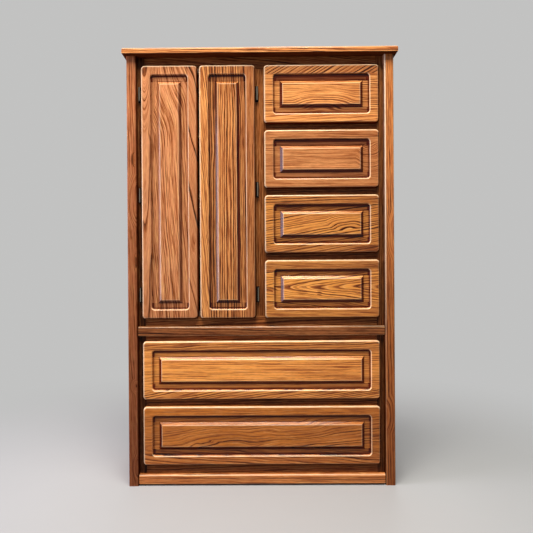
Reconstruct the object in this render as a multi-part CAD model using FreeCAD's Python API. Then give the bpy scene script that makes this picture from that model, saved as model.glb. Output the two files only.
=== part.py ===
import FreeCAD, Part
import math
import os

# Wardrobe dresser in solid oak: a pair of tall doors and four drawers above two wide drawers.
# Lengths are in millimetres. X runs across the case, the front faces -Y, and Z is up from the floor.
# The origin is on the floor, under the middle of the overall width and depth.

Vector = FreeCAD.Vector

# Overall sizes
overall_height = 1829.0
overall_depth = 483.0
body_width = 1118.0

# Top slab
slab_thickness = 25.0
slab_side_overhang = 12.5
slab_front_overhang = 28.0
slab_top_edge_radius = 9.0
slab_lower_edge_radius = 3.0

# Corner posts
post_width = 41.0
post_inner_radius = 8.0
post_outer_radius = 5.0

# Face frame
frame_setback = 22.0
frame_thickness = 19.0
side_stile_width = 30.0
centre_stile_width = 56.5
door_opening_width = 458.0
top_rail_width = 50.0
middle_rail_width = 114.0
drawer_rail_width = 48.0
bottom_rail_width = 89.0
lower_bay_height = 502.0
upper_drawer_count = 4
lower_drawer_count = 2
tenon_length = 12.0
tenon_thickness = 7.0
tenon_shoulder = 6.0

# Mouldings across the face frame
moulding_height = 40.0
moulding_thickness = 20.0
moulding_top_radius = 10.0
moulding_eased_edge = 2.5
moulding_end_gap = 1.5
middle_moulding_rise = 32.0
base_moulding_lift = 7.0

# Case panels
side_panel_thickness = 19.0
side_panel_reveal = 3.0
side_tongue_thickness = 7.0
side_tongue_length = 9.0
back_thickness = 5.0
back_rabbet_width = 10.0
deck_thickness = 19.0
housing_depth = 6.0
partition_thickness = 19.0
cleat_width = 20.0
back_cleat_height = 50.0

# Wardrobe shelves
shelf_count = 3
shelf_thickness = 19.0
shelf_front_clearance = 31.0
shelf_side_clearance = 1.0
shelf_back_clearance = 8.0
shelf_cleat_width = 18.0
shelf_cleat_height = 25.0
shelf_cleat_end_gap = 20.0

# Web frames that the drawers run on
web_thickness = 19.0
web_rail_width = 50.0

# Routed fronts
overlay = 10.0
front_thickness = 21.0
front_corner_radius = 12.0
front_edge_radius = 8.0
recess_start = 36.0
recess_depth = 9.0
recess_wall_run = 9.0
bevel_start = 67.5
bevel_width = 11.0
field_drop = 1.0
flats_per_quarter_round = 2

# Doors
door_meeting_gap = 8.0

# Hinges, one set of leaves for each of three heights on each door
hinge_barrel_diameter = 10.0
hinge_barrel_length = 57.0
hinge_bore_diameter = 5.0
hinge_pin_clearance = 0.05
hinge_knuckle_gap = 0.3
hinge_end_knuckle = 14.0
hinge_leaf_thickness = 1.2
hinge_leaf_gap = 0.4
hinge_leaf_height = 66.0
hinge_door_leaf_width = 38.0
hinge_wrap_depth = 15.0
hinge_axis_from_door = 8.5
hinge_axis_forward = 12.5
hinge_notch_clearance = 0.5
top_hinge_drop = 117.0
bottom_hinge_rise = 101.0
middle_hinge_shift = 11.0

# Twin magnetic catches and their strikes
catch_width = 50.0
catch_depth = 22.0
catch_height = 16.0
catch_gap = 0.4
strike_width = 20.0
strike_height = 14.0
strike_thickness = 1.0

# Drawer boxes
drawer_back_gap = 0.4
drawer_rear_clearance = 23.4
drawer_side_thickness = 12.0
drawer_side_clearance = 5.0
drawer_top_clearance = 15.0
drawer_run_clearance = 0.3
dovetail_neck = 6.0
dovetail_width = 9.0
dovetail_depth = 8.0
drawer_back_thickness = 12.0
drawer_back_inset = 15.0
drawer_back_drop = 6.0
drawer_housing = 5.0
drawer_bottom_thickness = 5.0
drawer_bottom_lift = 14.0

# Centre guides and the grooved battens that ride on them
guide_width = 30.0
guide_height = 9.0
guide_setback = 4.0
guide_clearance = 0.4
batten_width = 60.0

# Working tolerances of the drawing itself
overrun = 2.0
same_place = 0.001
edge_check_shares = (0.0, 0.5, 1.0)
quarter_turn = math.pi / 2


def box(x, y, z):
    corner = Vector(x[0], y[0], z[0])
    return Part.makeBox(x[1] - x[0], y[1] - y[0], z[1] - z[0], corner)


def grow(span, by):
    return (span[0] - by, span[1] + by)


def inset(span, by):
    return (span[0] + by, span[1] - by)


def around(centre, width):
    return (centre - width / 2, centre + width / 2)


def middle(span):
    return (span[0] + span[1]) / 2


def mirrored(shape):
    return shape.mirror(Vector(0, 0, 0), Vector(1, 0, 0))


def cut_by(shape, pieces):
    for piece in pieces:
        shape = shape.cut(piece)
    return shape


def edge_points(edge):
    first, last = edge.ParameterRange
    return [edge.valueAt(first + (last - first) * share) for share in edge_check_shares]


def edges_where(shape, **place):
    """Edges that lie wholly at the given x, y or z."""
    chosen = []
    for edge in shape.Edges:
        points = edge_points(edge)
        if all(abs(getattr(p, axis) - at) < same_place for p in points for axis, at in place.items()):
            chosen.append(edge)
    return chosen


# Places worked out from the sizes

front_y = -overall_depth / 2
back_y = overall_depth / 2
case_height = overall_height - slab_thickness
post_face = front_y + slab_front_overhang
frame_y = (post_face + frame_setback, post_face + frame_setback + frame_thickness)
tenon_y = around(middle(frame_y), tenon_thickness)
inner_back = back_y - back_thickness

post_x = (body_width / 2 - post_width, body_width / 2)
panel_x = (post_x[1] - side_panel_reveal - side_panel_thickness, post_x[1] - side_panel_reveal)
stile_edge = post_x[0] - side_stile_width
door_bay_x = (-stile_edge, door_opening_width - stile_edge)
centre_stile_x = (door_bay_x[1], door_bay_x[1] + centre_stile_width)
upper_bay_x = (centre_stile_x[1], stile_edge)
lower_bay_x = (-stile_edge, stile_edge)
partition_x = (upper_bay_x[0] - partition_thickness, upper_bay_x[0])

bottom_rail_z = (base_moulding_lift, base_moulding_lift + bottom_rail_width)
lower_bay_z = (bottom_rail_z[1], bottom_rail_z[1] + lower_bay_height)
middle_rail_z = (lower_bay_z[1], lower_bay_z[1] + middle_rail_width)
upper_bay_z = (middle_rail_z[1], case_height - top_rail_width)
top_rail_z = (upper_bay_z[1], case_height)


def stacked(z, count):
    """Spans of equal openings between drawer rails, from the top down."""
    height = (z[1] - z[0] - (count - 1) * drawer_rail_width) / count
    tops = [z[1] - place * (height + drawer_rail_width) for place in range(count)]
    return [(top - height, top) for top in tops]


upper_bays = [(upper_bay_x, z) for z in stacked(upper_bay_z, upper_drawer_count)]
lower_bays = [(lower_bay_x, z) for z in stacked(lower_bay_z, lower_drawer_count)]
bays = upper_bays + lower_bays
web_bays = upper_bays[:-1] + lower_bays[:-1]


# Top slab and posts

def case_top():
    x = grow((-body_width / 2, body_width / 2), slab_side_overhang)
    z = (case_height, overall_height)
    slab = box(x, (front_y, back_y), z)
    for at_z, radius in zip(z, (slab_lower_edge_radius, slab_top_edge_radius)):
        nosing = edges_where(slab, y=front_y, z=at_z)
        nosing += [e for at_x in x for e in edges_where(slab, x=at_x, z=at_z)]
        slab = slab.makeFillet(radius, nosing)
    return slab


def right_post(panel):
    post = box(post_x, (post_face, frame_y[1]), (0, case_height))
    post = post.makeFillet(post_inner_radius, edges_where(post, x=post_x[0], y=post_face))
    post = post.makeFillet(post_outer_radius, edges_where(post, x=post_x[1], y=post_face))
    return post.cut(panel)


# Face frame

def tenoned_rail(x, z):
    rail = box(x, frame_y, z)
    tenons = box(grow(x, tenon_length), tenon_y, inset(z, tenon_shoulder))
    return rail.fuse(tenons).removeSplitter()


def frame_rails():
    rails = {
        "top_rail": tenoned_rail(lower_bay_x, top_rail_z),
        "middle_rail": tenoned_rail(lower_bay_x, middle_rail_z),
        "bottom_rail": tenoned_rail(lower_bay_x, bottom_rail_z),
    }
    return rails


def drawer_rail(bay):
    x, z = bay
    return tenoned_rail(x, (z[0] - drawer_rail_width, z[0]))


def side_stile():
    return box((stile_edge, post_x[0]), frame_y, (base_moulding_lift, case_height))


def centre_stile():
    stile = box(centre_stile_x, frame_y, upper_bay_z)
    tenon_x = inset(centre_stile_x, tenon_shoulder)
    tenons = box(tenon_x, tenon_y, grow(upper_bay_z, tenon_length))
    return stile.fuse(tenons).removeSplitter()


def moulding(bottom):
    x = inset((-post_x[0], post_x[0]), moulding_end_gap)
    y = (frame_y[0] - moulding_thickness, frame_y[0])
    z = (bottom, bottom + moulding_height)
    strip = box(x, y, z)
    strip = strip.makeFillet(moulding_top_radius, edges_where(strip, y=y[0], z=z[1]))
    lower_edges = edges_where(strip, y=y[0], z=z[0])
    return strip.makeChamfer(moulding_eased_edge, lower_edges)


# Case panels

def right_side_panel():
    panel = box(panel_x, (frame_y[1], back_y), (0, case_height))
    tongue_x = around(middle(panel_x), side_tongue_thickness)
    tongue = box(tongue_x, (frame_y[1] - side_tongue_length, frame_y[1]), (0, case_height))
    rabbet_x = (panel_x[0], panel_x[0] + back_rabbet_width)
    rabbet = box(rabbet_x, (inner_back, back_y), (0, case_height))
    return panel.fuse(tongue).removeSplitter().cut(rabbet)


def back_panel():
    x = grow((-panel_x[0], panel_x[0]), back_rabbet_width)
    return box(x, (inner_back, back_y), (base_moulding_lift, case_height))


def deck(top):
    x = grow((-panel_x[0], panel_x[0]), housing_depth)
    return box(x, (frame_y[1], inner_back), (top - deck_thickness, top))


def partition():
    z = (upper_bay_z[0] - housing_depth, case_height)
    return box(partition_x, (frame_y[1], inner_back), z)


def top_cleats():
    back = box((-panel_x[0], panel_x[0]), (inner_back - cleat_width, inner_back),
               (case_height - back_cleat_height, case_height))
    side = box((panel_x[0] - cleat_width, panel_x[0]), (frame_y[1], inner_back - cleat_width),
               (case_height - cleat_width, case_height))
    return [mirrored(side), side, back]


# Wardrobe shelves

def shelf_tops():
    step = (upper_bay_z[1] - upper_bay_z[0]) / (shelf_count + 1)
    return [upper_bay_z[0] + step * place for place in range(1, shelf_count + 1)]


def shelf_y():
    return (frame_y[1] + shelf_front_clearance, inner_back - shelf_back_clearance)


def shelf(top):
    x = inset((-panel_x[0], partition_x[0]), shelf_side_clearance)
    return box(x, shelf_y(), (top - shelf_thickness, top))


def shelf_cleats():
    left_x = (-panel_x[0], shelf_cleat_width - panel_x[0])
    right_x = (partition_x[0] - shelf_cleat_width, partition_x[0])
    y = inset(shelf_y(), shelf_cleat_end_gap)
    cleats = []
    for top in shelf_tops():
        under = top - shelf_thickness
        cleats += [box(x, y, (under - shelf_cleat_height, under)) for x in (left_x, right_x)]
    return cleats


# Web frames

def web_sides(bay):
    """Housed outer edges of a bay's web frame: the partition or a side panel."""
    left = partition_x[1] if bay[0] == upper_bay_x else -panel_x[0]
    return (left - housing_depth, panel_x[0] + housing_depth)


def web_runners(bay):
    x, z = bay
    outer = web_sides(bay)
    left = (outer[0], x[0] + web_rail_width)
    centre = around(middle(x), web_rail_width)
    right = (x[1] - web_rail_width, outer[1])
    y = (frame_y[1], inner_back - web_rail_width)
    return [box(across, y, (z[0] - web_thickness, z[0])) for across in (left, centre, right)]


def web_back(bay):
    x, z = bay
    return box(web_sides(bay), (inner_back - web_rail_width, inner_back), (z[0] - web_thickness, z[0]))


def guide(bay):
    x, z = bay
    return box(around(middle(x), guide_width), (frame_y[0] + guide_setback, inner_back),
               (z[0], z[0] + guide_height))


# Routed fronts, shared by the doors and drawers

def rounded_outline(x, z, y, radius):
    """Closed outline in the plane at y, a rectangle with its four corners rounded."""
    inner_x = inset(x, radius)
    inner_z = inset(z, radius)
    centres = ((inner_x[1], inner_z[1]), (inner_x[0], inner_z[1]),
               (inner_x[0], inner_z[0]), (inner_x[1], inner_z[0]))
    arcs = []
    for quarter, (across, up) in enumerate(centres):
        turns = [(quarter + share) * quarter_turn for share in edge_check_shares]
        points = [Vector(across + radius * math.cos(t), y, up + radius * math.sin(t)) for t in turns]
        arcs.append(Part.Arc(*points).toShape())
    edges = []
    for arc, following in zip(arcs, arcs[1:] + arcs[:1]):
        joint = Part.makeLine(arc.Vertexes[-1].Point, following.Vertexes[0].Point)
        edges += [arc, joint]
    return Part.Wire(edges)


def blank_front(x, z, face):
    """Blank with rounded corners and a quarter round on its face edge, worked as a few flats."""
    radius = front_edge_radius
    turns = [quarter_turn * flat / flats_per_quarter_round for flat in range(flats_per_quarter_round + 1)]
    rounding = [(radius - radius * math.cos(t), radius - radius * math.sin(t)) for t in turns]
    outlines = [rounded_outline(inset(x, step), inset(z, step), face + depth, front_corner_radius - step)
                for step, depth in [(0, front_thickness)] + rounding]
    return Part.makeLoft(outlines, True, True)


def prism(corners, reach):
    return Part.Face(Part.makePolygon(corners + corners[:1])).extrude(reach)


def tapered_block(near, far, near_y, far_y):
    """Block between a rectangle (x, z) at near_y and another at far_y."""
    (near_x, near_z), (far_x, far_z) = near, far
    reach_x = (min(near_x[0], far_x[0]), max(near_x[1], far_x[1]))
    reach_z = (min(near_z[0], far_z[0]), max(near_z[1], far_z[1]))
    plan = [Vector(near_x[0], near_y, reach_z[0]), Vector(near_x[1], near_y, reach_z[0]),
            Vector(far_x[1], far_y, reach_z[0]), Vector(far_x[0], far_y, reach_z[0])]
    side = [Vector(reach_x[0], near_y, near_z[0]), Vector(reach_x[0], near_y, near_z[1]),
            Vector(reach_x[0], far_y, far_z[1]), Vector(reach_x[0], far_y, far_z[0])]
    up = prism(plan, Vector(0, 0, reach_z[1] - reach_z[0]))
    return up.common(prism(side, Vector(reach_x[1] - reach_x[0], 0, 0)))


def recess(x, z, face):
    """Hollow whose walls slope in from the lip, with corners rounded about the floor's corners."""
    floor = face + recess_depth
    floor_x = inset(x, recess_start + recess_wall_run)
    floor_z = inset(z, recess_start + recess_wall_run)
    mouth = face - overrun
    run = recess_wall_run * (recess_depth + overrun) / recess_depth
    along = tapered_block((grow(floor_x, run), floor_z), (floor_x, floor_z), mouth, floor)
    up = tapered_block((floor_x, grow(floor_z, run)), (floor_x, floor_z), mouth, floor)
    corners = [Part.makeCone(run, 0, floor - mouth, Vector(at_x, mouth, at_z), Vector(0, 1, 0))
               for at_x in floor_x for at_z in floor_z]
    return along.multiFuse([up] + corners).removeSplitter()


def raised_field(x, z, face):
    """Flat field with a mitred bevel all round, standing up from the bottom of the recess."""
    crown_inset = bevel_start + bevel_width
    foot = (inset(x, bevel_start), inset(z, bevel_start))
    crown = (inset(x, crown_inset), inset(z, crown_inset))
    return tapered_block(crown, foot, face + field_drop, face + recess_depth)


def routed_front(x, z, back):
    face = back - front_thickness
    hollow = recess(x, z, face).cut(raised_field(x, z, face))
    return blank_front(x, z, face).cut(hollow)


# Doors, which stand off the frame by both leaves of a closed hinge and the gap between them

door_back_gap = 2 * hinge_leaf_thickness + hinge_leaf_gap
door_back = frame_y[0] - door_back_gap
door_width = (door_opening_width + 2 * overlay - door_meeting_gap) / 2
left_door_x = (door_bay_x[0] - overlay, door_bay_x[0] - overlay + door_width)
right_door_x = (door_bay_x[1] + overlay - door_width, door_bay_x[1] + overlay)
door_z = grow(upper_bay_z, overlay)


def hinge_heights(shift):
    return (door_z[0] + bottom_hinge_rise, middle(door_z) + shift, door_z[1] - top_hinge_drop)


def knuckle_spans(height):
    """Heights of the frame's lower knuckle, the door's long knuckle and the frame's upper knuckle."""
    barrel = around(height, hinge_barrel_length)
    cuts = (barrel[0] + hinge_end_knuckle, barrel[1] - hinge_end_knuckle)
    spans = ((barrel[0], cuts[0]), cuts, (cuts[1], barrel[1]))
    return [inset(span, hinge_knuckle_gap / 2) for span in spans]


def knuckle(z):
    return Part.makeCylinder(hinge_barrel_diameter / 2, z[1] - z[0], Vector(0, 0, z[0]))


def hinge_leaf(plates, own, others):
    """Leaf bent from plates, curled into its own knuckles and notched round the other leaf's."""
    leaf = plates[0].multiFuse(plates[1:] + [knuckle(z) for z in own]).removeSplitter()
    reach = hinge_barrel_diameter / 2 + hinge_notch_clearance
    return cut_by(leaf, [box((-reach, reach), (-reach, reach), grow(z, hinge_knuckle_gap)) for z in others])


def frame_leaf(height):
    """Frame leaf with its fixed pin: a tail back to the frame, a foot under the door, and a wrap."""
    radius = hinge_barrel_diameter / 2
    z = around(height, hinge_leaf_height)
    stile_u = hinge_axis_from_door + overlay
    foot_v = (hinge_axis_forward - hinge_leaf_thickness, hinge_axis_forward)
    tail = box((-radius, hinge_leaf_thickness - radius), (0, foot_v[1]), around(height, hinge_barrel_length))
    foot = box((-radius, stile_u + hinge_leaf_thickness), foot_v, z)
    wrap = box((stile_u, stile_u + hinge_leaf_thickness), (foot_v[0], foot_v[1] + hinge_wrap_depth), z)
    spans = knuckle_spans(height)
    pin_foot = spans[0][1]
    pin = Part.makeCylinder(hinge_bore_diameter / 2 - hinge_pin_clearance, spans[-1][0] - pin_foot,
                            Vector(0, 0, pin_foot))
    return hinge_leaf([tail, foot, wrap], spans[0::2], spans[1::2]).fuse(pin).removeSplitter()


def door_leaf(height):
    """Door leaf bored for the pin: a tail along the door's edge, then a plate on the door's back."""
    radius = hinge_barrel_diameter / 2
    plate_v = (hinge_axis_forward - door_back_gap, hinge_axis_forward - door_back_gap + hinge_leaf_thickness)
    tail_u = (radius - hinge_leaf_thickness, radius)
    tail = box(tail_u, (0, plate_v[1]), around(height, hinge_barrel_length))
    plate_u = (tail_u[0], hinge_axis_from_door + hinge_door_leaf_width)
    plate = box(plate_u, plate_v, around(height, hinge_leaf_height))
    spans = knuckle_spans(height)
    bore_foot = spans[0][0] - overrun
    bore = Part.makeCylinder(hinge_bore_diameter / 2, spans[-1][1] - bore_foot + overrun,
                             Vector(0, 0, bore_foot))
    return hinge_leaf([tail, plate], spans[1::2], spans[0::2]).cut(bore)


hinge_y = frame_y[0] - hinge_axis_forward
left_hinge_x = left_door_x[0] - hinge_axis_from_door
right_hinge_x = right_door_x[1] + hinge_axis_from_door


def at_left_hinge(shape):
    return shape.translated(Vector(left_hinge_x, hinge_y, 0))


def at_right_hinge(shape):
    return mirrored(shape).translated(Vector(right_hinge_x, hinge_y, 0))


def all_hinges(maker):
    left = [at_left_hinge(maker(height)) for height in hinge_heights(-middle_hinge_shift)]
    right = [at_right_hinge(maker(height)) for height in hinge_heights(middle_hinge_shift)]
    return left, right


# Catches

meeting_x = middle((left_door_x[1], right_door_x[0]))
catch_spans = (
    (upper_bay_z[0], upper_bay_z[0] + catch_height),
    (upper_bay_z[1] - catch_height, upper_bay_z[1]),
)


def catches():
    front = door_back + strike_thickness + catch_gap
    return [box(around(meeting_x, catch_width), (front, front + catch_depth), z) for z in catch_spans]


def strikes(start):
    x = (start, start + strike_width)
    y = (door_back, door_back + strike_thickness)
    return [box(x, y, around(middle(z), strike_height)) for z in catch_spans]


# Drawers

drawer_back_plane = frame_y[0] - drawer_back_gap
drawer_rear = inner_back - drawer_rear_clearance


def drawer_box_z(bay):
    x, z = bay
    return (z[0] + drawer_run_clearance, z[1] - drawer_top_clearance)


def dovetail(centre, z):
    """Sliding dovetail, narrow at the front's rear face and wide inside the front."""
    y = drawer_back_plane
    neck = around(centre, dovetail_neck)
    wide = around(centre, dovetail_width)
    tail_y = y - dovetail_depth
    corners = [Vector(neck[0], y, z[0]), Vector(neck[1], y, z[0]),
               Vector(wide[1], tail_y, z[0]), Vector(wide[0], tail_y, z[0])]
    return prism(corners, Vector(0, 0, z[1] - z[0]))


def drawer_bottom(bay):
    x, z = bay
    inner_x = inset(x, drawer_side_clearance + drawer_side_thickness)
    y = (drawer_back_plane - drawer_housing, drawer_rear - drawer_back_inset)
    foot = drawer_box_z(bay)[0] + drawer_bottom_lift
    return box(grow(inner_x, drawer_housing), y, (foot, foot + drawer_bottom_thickness))


def drawer_back(bay):
    x, z = bay
    inner_x = inset(x, drawer_side_clearance + drawer_side_thickness)
    rear = drawer_rear - drawer_back_inset
    side_z = drawer_box_z(bay)
    foot = side_z[0] + drawer_bottom_lift + drawer_bottom_thickness
    return box(grow(inner_x, drawer_housing), (rear - drawer_back_thickness, rear),
               (foot, side_z[1] - drawer_back_drop))


def drawer_side_centres(bay):
    return inset(bay[0], drawer_side_clearance + drawer_side_thickness / 2)


def drawer_sides(bay):
    y = (drawer_back_plane, drawer_rear)
    z = drawer_box_z(bay)
    sides = []
    for centre in drawer_side_centres(bay):
        board = box(around(centre, drawer_side_thickness), y, z)
        board = board.fuse(dovetail(centre, z)).removeSplitter()
        sides.append(cut_by(board, [drawer_bottom(bay), drawer_back(bay)]))
    return sides


def drawer_front(bay):
    x, z = bay
    front = routed_front(grow(x, overlay), grow(z, overlay), drawer_back_plane)
    slot_z = (z[0] - overlay - overrun, drawer_box_z(bay)[1])
    slots = [dovetail(centre, slot_z) for centre in drawer_side_centres(bay)]
    return cut_by(front, slots + [drawer_bottom(bay)])


def drawer_batten(bay):
    x, z = bay
    y = (drawer_back_plane, drawer_rear - drawer_back_inset)
    batten_z = (z[0] + drawer_run_clearance, drawer_box_z(bay)[0] + drawer_bottom_lift)
    batten = box(around(middle(x), batten_width), y, batten_z)
    groove_x = grow(around(middle(x), guide_width), guide_clearance)
    groove = box(groove_x, grow(y, overrun), (z[0] - overrun, z[0] + guide_height + guide_clearance))
    return batten.cut(groove)


# The whole piece

def case_parts():
    rails = frame_rails()
    upper_rails = [drawer_rail(bay) for bay in upper_bays[:-1]]
    lower_rails = [drawer_rail(bay) for bay in lower_bays[:-1]]
    runners = [runner for bay in web_bays for runner in web_runners(bay)]
    backs = [web_back(bay) for bay in web_bays]
    upper_count = len(upper_bays) - 1
    upper_runners = [r for bay in upper_bays[:-1] for r in web_runners(bay)]
    lower_runners = [r for bay in lower_bays[:-1] for r in web_runners(bay)]
    decks = [deck(lower_bay_z[0]), deck(upper_bay_z[0])]
    cleats = top_cleats()
    stile = centre_stile()
    divider = partition()
    panel = right_side_panel()
    posts = [mirrored(right_post(panel)), right_post(panel)]
    web = runners + backs
    all_rails = list(rails.values()) + upper_rails + lower_rails

    return {
        "case_top": [case_top()],
        "left_post": posts[:1],
        "right_post": posts[1:],
        "left_side_panel": [cut_by(mirrored(panel), decks + web)],
        "right_side_panel": [cut_by(panel, decks + web)],
        "back_panel": [back_panel()],
        "bottom_deck": decks[:1],
        "middle_deck": [decks[1].cut(divider)],
        "partition": [cut_by(divider, web + cleats)],
        "top_rail": [rails["top_rail"].cut(stile)],
        "middle_rail": [rails["middle_rail"].cut(stile)],
        "bottom_rail": [rails["bottom_rail"]],
        "left_stile": [cut_by(mirrored(side_stile()), all_rails)],
        "centre_stile": [cut_by(stile, upper_rails)],
        "right_stile": [cut_by(side_stile(), all_rails)],
        "upper_drawer_rails": upper_rails,
        "lower_drawer_rail": lower_rails,
        "middle_moulding": [moulding(middle_rail_z[0] + middle_moulding_rise)],
        "base_moulding": [moulding(base_moulding_lift)],
        "wardrobe_shelves": [shelf(top) for top in shelf_tops()],
        "shelf_cleats": shelf_cleats(),
        "upper_web_runners": upper_runners,
        "lower_web_runners": lower_runners,
        "upper_web_backs": backs[:upper_count],
        "lower_web_back": backs[upper_count:],
        "drawer_guides": [guide(bay) for bay in bays],
        "top_cleats": cleats,
    }


def hinge_parts():
    frame_leaves = all_hinges(frame_leaf)
    door_leaves = all_hinges(door_leaf)
    return {
        "hinge_frame_leaves": frame_leaves[0] + frame_leaves[1],
        "left_door_hinge_leaves": door_leaves[0],
        "right_door_hinge_leaves": door_leaves[1],
    }


def door_parts():
    strike_gap = (catch_width / 2 - strike_width) - door_meeting_gap / 2
    return {
        "left_door_panel": [routed_front(left_door_x, door_z, door_back)],
        "right_door_panel": [routed_front(right_door_x, door_z, door_back)],
        "left_door_strikes": strikes(left_door_x[1] - strike_gap - strike_width),
        "right_door_strikes": strikes(right_door_x[0] + strike_gap),
        "door_catches": catches(),
    }


def drawer_parts():
    parts = {}
    for number, bay in enumerate(bays, 1):
        name = f"drawer_{number}_"
        parts[name + "front"] = [drawer_front(bay)]
        parts[name + "box"] = drawer_sides(bay) + [drawer_back(bay)]
        parts[name + "bottom"] = [drawer_bottom(bay)]
        parts[name + "batten"] = [drawer_batten(bay)]
    return parts


def main():
    os.makedirs("parts", exist_ok=True)
    parts = {**case_parts(), **hinge_parts(), **door_parts(), **drawer_parts()}
    for name, pieces in parts.items():
        solids = [solid for piece in pieces for solid in piece.Solids]
        shape = solids[0] if len(solids) == 1 else Part.makeCompound(solids)
        shape.exportStep(f"parts/{name}.step")
        print(name, len(solids), "solids", round(shape.Volume / 1000), "cm3", shape.isValid())


main()
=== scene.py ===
import math

import bmesh
import bpy
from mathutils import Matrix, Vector


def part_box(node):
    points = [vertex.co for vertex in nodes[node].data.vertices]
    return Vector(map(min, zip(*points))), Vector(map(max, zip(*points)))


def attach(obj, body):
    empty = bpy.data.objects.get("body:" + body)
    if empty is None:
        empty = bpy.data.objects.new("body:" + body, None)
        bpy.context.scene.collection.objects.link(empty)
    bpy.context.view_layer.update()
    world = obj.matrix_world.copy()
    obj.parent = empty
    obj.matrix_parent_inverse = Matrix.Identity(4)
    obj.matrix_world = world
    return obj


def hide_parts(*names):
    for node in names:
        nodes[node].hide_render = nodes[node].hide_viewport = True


# Wardrobe dresser in stained oak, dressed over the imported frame. All lengths are in metres.

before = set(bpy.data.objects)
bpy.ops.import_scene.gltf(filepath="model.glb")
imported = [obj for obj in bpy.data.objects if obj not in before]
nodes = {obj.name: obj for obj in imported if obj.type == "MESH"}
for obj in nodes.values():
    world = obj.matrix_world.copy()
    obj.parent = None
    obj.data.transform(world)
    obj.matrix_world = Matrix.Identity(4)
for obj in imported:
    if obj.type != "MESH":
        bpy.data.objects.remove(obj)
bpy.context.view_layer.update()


# Shader arithmetic

class Value:
    """One socket's value, with the arithmetic that masks and patterns are made of."""

    def __init__(self, shading, socket):
        self.shading = shading
        self.socket = socket

    def combine(self, operation, *others):
        return self.shading.node("ShaderNodeMath", {"operation": operation}, dict(enumerate((self, *others))))

    def __add__(self, other):
        return self.combine("ADD", other)

    def __sub__(self, other):
        return self.combine("SUBTRACT", other)

    def __mul__(self, other):
        return self.combine("MULTIPLY", other)

    def __truediv__(self, other):
        return self.combine("DIVIDE", other)

    def __pow__(self, other):
        return self.combine("POWER", other)

    def __gt__(self, other):
        return self.combine("GREATER_THAN", other)

    def __rsub__(self, other):
        return self.shading.node("ShaderNodeMath", {"operation": "SUBTRACT"}, {0: other, 1: self})

    def __abs__(self):
        return self.combine("ABSOLUTE")

    __radd__ = __add__
    __rmul__ = __mul__

    def fraction(self):
        return self.combine("FRACT")

    def whole(self):
        return self.combine("FLOOR")


class Shading:
    """The nodes of a finish or of the studio, and how values reach their sockets."""

    def __init__(self, tree):
        self.tree = tree

    def node(self, kind, settings=None, inputs=None, output=0):
        made = self.tree.nodes.new(kind)
        for name, value in (settings or {}).items():
            if name == "stops":
                self.set_stops(made.color_ramp, value)
            else:
                setattr(made, name, value)
        for name, value in (inputs or {}).items():
            self.feed(made.inputs[name], value)
        return Value(self, made.outputs[output])

    def set_stops(self, ramp, stops):
        while len(ramp.elements) < len(stops):
            ramp.elements.new(0.5)
        for element, (place, level) in zip(ramp.elements, stops):
            element.position = place
            element.color = level if isinstance(level, tuple) else (level, level, level, 1)

    def feed(self, socket, value):
        if isinstance(value, Value):
            self.tree.links.new(value.socket, socket)
        else:
            socket.default_value = value

    def seen(self):
        """1 for what the camera sees, also in a reflection, and 0 for the light that falls on the piece."""
        camera, mirror, glass = (self.node("ShaderNodeLightPath", output=f"Is {ray} Ray")
                                 for ray in ("Camera", "Glossy", "Transmission"))
        return camera + mirror + glass

    def close(self, output, shader):
        self.feed(self.tree.nodes[output].inputs["Surface"], shader)


class Finish(Shading):
    """A material and the nodes that make its colour, sheen and surface."""

    def __init__(self, name):
        self.material = bpy.data.materials.new(name)
        self.material.use_nodes = True
        super().__init__(self.material.node_tree)
        self.shader = self.tree.nodes["Principled BSDF"]

    def surface(self, **values):
        for name, value in values.items():
            self.feed(self.shader.inputs[name.replace("_", " ").title().replace("Ior", "IOR")], value)

    def coordinates(self, kind):
        found = self.node("ShaderNodeTexCoord", output=kind)
        return [self.node("ShaderNodeSeparateXYZ", inputs={0: found}, output=axis) for axis in "XYZ"]

    def place(self):
        """Position on the piece itself, as its X, Y and Z values."""
        return self.coordinates("Object")

    def facing(self):
        """Which way the surface looks on the piece itself, as its X, Y and Z values."""
        return self.coordinates("Normal")

    def vector(self, x, y, z):
        return self.node("ShaderNodeCombineXYZ", inputs={0: x, 1: y, 2: z})

    def noise(self, where, detail=2.0, roughness=0.5):
        return self.node("ShaderNodeTexNoise", {"noise_dimensions": "3D"},
                         {"Vector": where, "Scale": 1.0, "Detail": detail, "Roughness": roughness})

    def chance(self, number):
        return self.node("ShaderNodeTexWhiteNoise", {"noise_dimensions": "1D"}, {"W": number})

    def spread(self, value, low, high, low_out=0.0, high_out=1.0):
        return self.node("ShaderNodeMapRange", {"interpolation_type": "SMOOTHSTEP"},
                         {0: value, 1: low, 2: high, 3: low_out, 4: high_out})

    def curve(self, value, stops):
        return self.node("ShaderNodeValToRGB", {"stops": stops}, {0: value})

    def blend(self, share, first, second, kind="MIX"):
        """Mix of two colours; share is a number or a mask."""
        return self.node("ShaderNodeMix", {"data_type": "RGBA", "blend_type": kind},
                         {0: share, 6: first, 7: second}, output=2)


# Fronts: routed edge, ogee lip, flat channel and mitred bevel round the raised field

FRONT_EDGE = 0.008
FRONT_CORNER = 0.016
LIP_START = 0.035
LIP_STEP = 0.0045
LIP_CORNER = 0.017
FRAME_STAIN = 0.12
CHANNEL_DEPTH = 0.009
BEVEL_START = 0.0675
BEVEL_WIDTH = 0.011
FIELD_DROP = 0.001
FIELD_CROWN = 0.0004
FLAT_MARGIN = 0.003
LIP_MARGIN = 0.002
ARC_STEPS = 7
CORNER_STEPS = 8
SHARP_ANGLE = 32


# Oak: growth rings round the heart of the log, cut through by the board

AXES = {"X": 0, "Y": 1, "Z": 2}


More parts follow.
